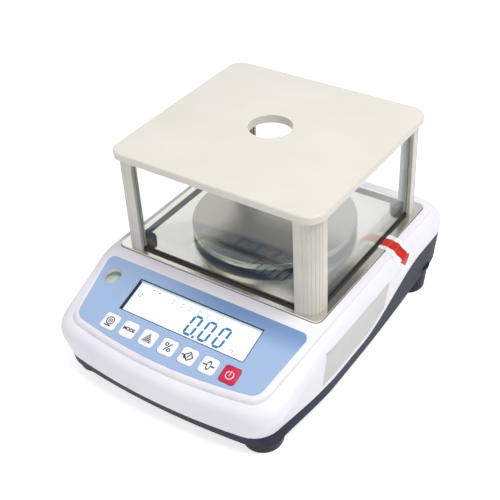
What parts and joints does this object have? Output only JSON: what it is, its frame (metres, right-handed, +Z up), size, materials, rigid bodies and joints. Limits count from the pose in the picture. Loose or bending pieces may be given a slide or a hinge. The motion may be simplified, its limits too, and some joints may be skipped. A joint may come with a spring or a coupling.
{
  "type": "precision balance",
  "caption": "Tabletop precision balance with a round pan, a square glass draft shield with a lid, a display, push keys and four levelling feet.",
  "frame": {"origin": "on the table, under the middle of the housing", "axes": "+Z up; +Y to the back, away from the keys; +X to the right of a person at the keys"},
  "size_m": [0.197, 0.255, 0.1508],
  "materials": {
    "housing_white": "fine moulded texture",
    "base_blue": "fine moulded texture",
    "foot_blue": "satin",
    "steel": "brushed",
    "bright_steel": "bright zinc",
    "dark_steel": "blackened",
    "aluminium": "machined",
    "brass": "plain",
    "black_rubber": "matt",
    "overlay_blue": "satin print",
    "key_white": "satin",
    "key_red": "satin",
    "display_glass": "clear",
    "black_plastic": "matt",
    "circuit_green": "solder resist",
    "vial_glass": "clear",
    "level_green": "liquid",
    "post_cream": "satin",
    "clear_glass": "clear",
    "lid_cream": "satin"
  },
  "bodies": {
    "base": {"top_housing": "housing_white", "base_housing": "base_blue", "housing_screws": "bright_steel", "foot_inserts": "brass", "chassis_plate": "aluminium", "chassis_screws": "bright_steel", "cell_spacer": "aluminium", "load_cell": "aluminium", "cell_screws": "dark_steel", "carrier_arm": "aluminium", "carrier_stud": "bright_steel", "overload_stops": "dark_steel", "main_board": "circuit_green", "board_standoffs": "brass", "dc_inlet": "black_plastic", "serial_port": "bright_steel", "tray_plate": "steel", "plate_knobs": "black_rubber", "keypad_overlay": "overlay_blue", "key_board": "circuit_green", "key_domes": "bright_steel", "lcd_glass": "display_glass", "lcd_frame": "black_plastic", "display_gasket": "black_plastic", "display_board": "circuit_green", "display_screws": "bright_steel", "level_cup": "black_plastic", "level_vial": "vial_glass", "level_liquid": "level_green"},
    "weighing_pan": {"weighing_pan": "steel"},
    "draft_shield": {"post_fl": "post_cream", "post_fr": "post_cream", "post_rl": "post_cream", "post_rr": "post_cream", "glass_front": "clear_glass", "glass_rear": "clear_glass", "glass_left": "clear_glass", "glass_right": "clear_glass", "glass_seals": "black_rubber"},
    "shield_lid": {"shield_lid": "lid_cream"},
    "key_print": {"key_print": "key_white"},
    "key_mode": {"key_mode": "key_white"},
    "key_count": {"key_count": "key_white"},
    "key_percent": {"key_percent": "key_white"},
    "key_tare": {"key_tare": "key_white"},
    "key_zero": {"key_zero": "key_white"},
    "key_power": {"key_power": "key_red"},
    "foot_stud_fl": {"foot_stud_fl": "bright_steel"},
    "foot_disc_fl": {"foot_disc_fl": "foot_blue"},
    "foot_stud_fr": {"foot_stud_fr": "bright_steel"},
    "foot_disc_fr": {"foot_disc_fr": "foot_blue"},
    "foot_stud_rl": {"foot_stud_rl": "bright_steel"},
    "foot_disc_rl": {"foot_disc_rl": "foot_blue"},
    "foot_stud_rr": {"foot_stud_rr": "bright_steel"},
    "foot_disc_rr": {"foot_disc_rr": "foot_blue"}
  },
  "joints": [
    {"name": "press_print", "type": "slide", "parent": "base", "child": "key_print", "axis": [0, 0.309, -0.9511], "range_m": [0, 0.0004], "stiffness_N_per_m": 1500, "springref_m": -0.0003},
    {"name": "press_mode", "type": "slide", "parent": "base", "child": "key_mode", "axis": [0, 0.309, -0.9511], "range_m": [0, 0.0004], "stiffness_N_per_m": 1500, "springref_m": -0.0003},
    {"name": "press_count", "type": "slide", "parent": "base", "child": "key_count", "axis": [0, 0.309, -0.9511], "range_m": [0, 0.0004], "stiffness_N_per_m": 1500, "springref_m": -0.0003},
    {"name": "press_percent", "type": "slide", "parent": "base", "child": "key_percent", "axis": [0, 0.309, -0.9511], "range_m": [0, 0.0004], "stiffness_N_per_m": 1500, "springref_m": -0.0003},
    {"name": "press_tare", "type": "slide", "parent": "base", "child": "key_tare", "axis": [0, 0.309, -0.9511], "range_m": [0, 0.0004], "stiffness_N_per_m": 1500, "springref_m": -0.0003},
    {"name": "press_zero", "type": "slide", "parent": "base", "child": "key_zero", "axis": [0, 0.309, -0.9511], "range_m": [0, 0.0004], "stiffness_N_per_m": 1500, "springref_m": -0.0003},
    {"name": "press_power", "type": "slide", "parent": "base", "child": "key_power", "axis": [0, 0.309, -0.9511], "range_m": [0, 0.0004], "stiffness_N_per_m": 1500, "springref_m": -0.0003},
    {"name": "lift_pan", "type": "slide", "parent": "base", "child": "weighing_pan", "axis": [0, 0, 1], "range_m": [0, 0.05]},
    {"name": "lift_shield", "type": "slide", "parent": "base", "child": "draft_shield", "axis": [0, 0, 1], "range_m": [0, 0.09]},
    {"name": "lift_lid", "type": "slide", "parent": "draft_shield", "child": "shield_lid", "axis": [0, 0, 1], "range_m": [0, 0.06]},
    {"name": "drop_foot_fl", "type": "slide", "parent": "base", "child": "foot_stud_fl", "axis": [0, 0, -1], "range_m": [0, 0.005]},
    {"name": "turn_foot_fl", "type": "hinge", "parent": "foot_stud_fl", "child": "foot_disc_fl", "pos_m": [-0.0725, -0.0995, 0], "axis": [0, 0, -1], "range_deg": [0, 1440]},
    {"name": "drop_foot_fr", "type": "slide", "parent": "base", "child": "foot_stud_fr", "axis": [0, 0, -1], "range_m": [0, 0.005]},
    {"name": "turn_foot_fr", "type": "hinge", "parent": "foot_stud_fr", "child": "foot_disc_fr", "pos_m": [0.0725, -0.0995, 0], "axis": [0, 0, -1], "range_deg": [0, 1440]},
    {"name": "drop_foot_rl", "type": "slide", "parent": "base", "child": "foot_stud_rl", "axis": [0, 0, -1], "range_m": [0, 0.005]},
    {"name": "turn_foot_rl", "type": "hinge", "parent": "foot_stud_rl", "child": "foot_disc_rl", "pos_m": [-0.08, 0.096, 0], "axis": [0, 0, -1], "range_deg": [0, 1440]},
    {"name": "drop_foot_rr", "type": "slide", "parent": "base", "child": "foot_stud_rr", "axis": [0, 0, -1], "range_m": [0, 0.005]},
    {"name": "turn_foot_rr", "type": "hinge", "parent": "foot_stud_rr", "child": "foot_disc_rr", "pos_m": [0.08, 0.096, 0], "axis": [0, 0, -1], "range_deg": [0, 1440]}
  ],
  "couplings": [
    {"joint": "drop_foot_fl", "follows": "turn_foot_fl", "m_per_rad": 0.00019894},
    {"joint": "drop_foot_fr", "follows": "turn_foot_fr", "m_per_rad": 0.00019894},
    {"joint": "drop_foot_rl", "follows": "turn_foot_rl", "m_per_rad": 0.00019894},
    {"joint": "drop_foot_rr", "follows": "turn_foot_rr", "m_per_rad": 0.00019894}
  ]
}
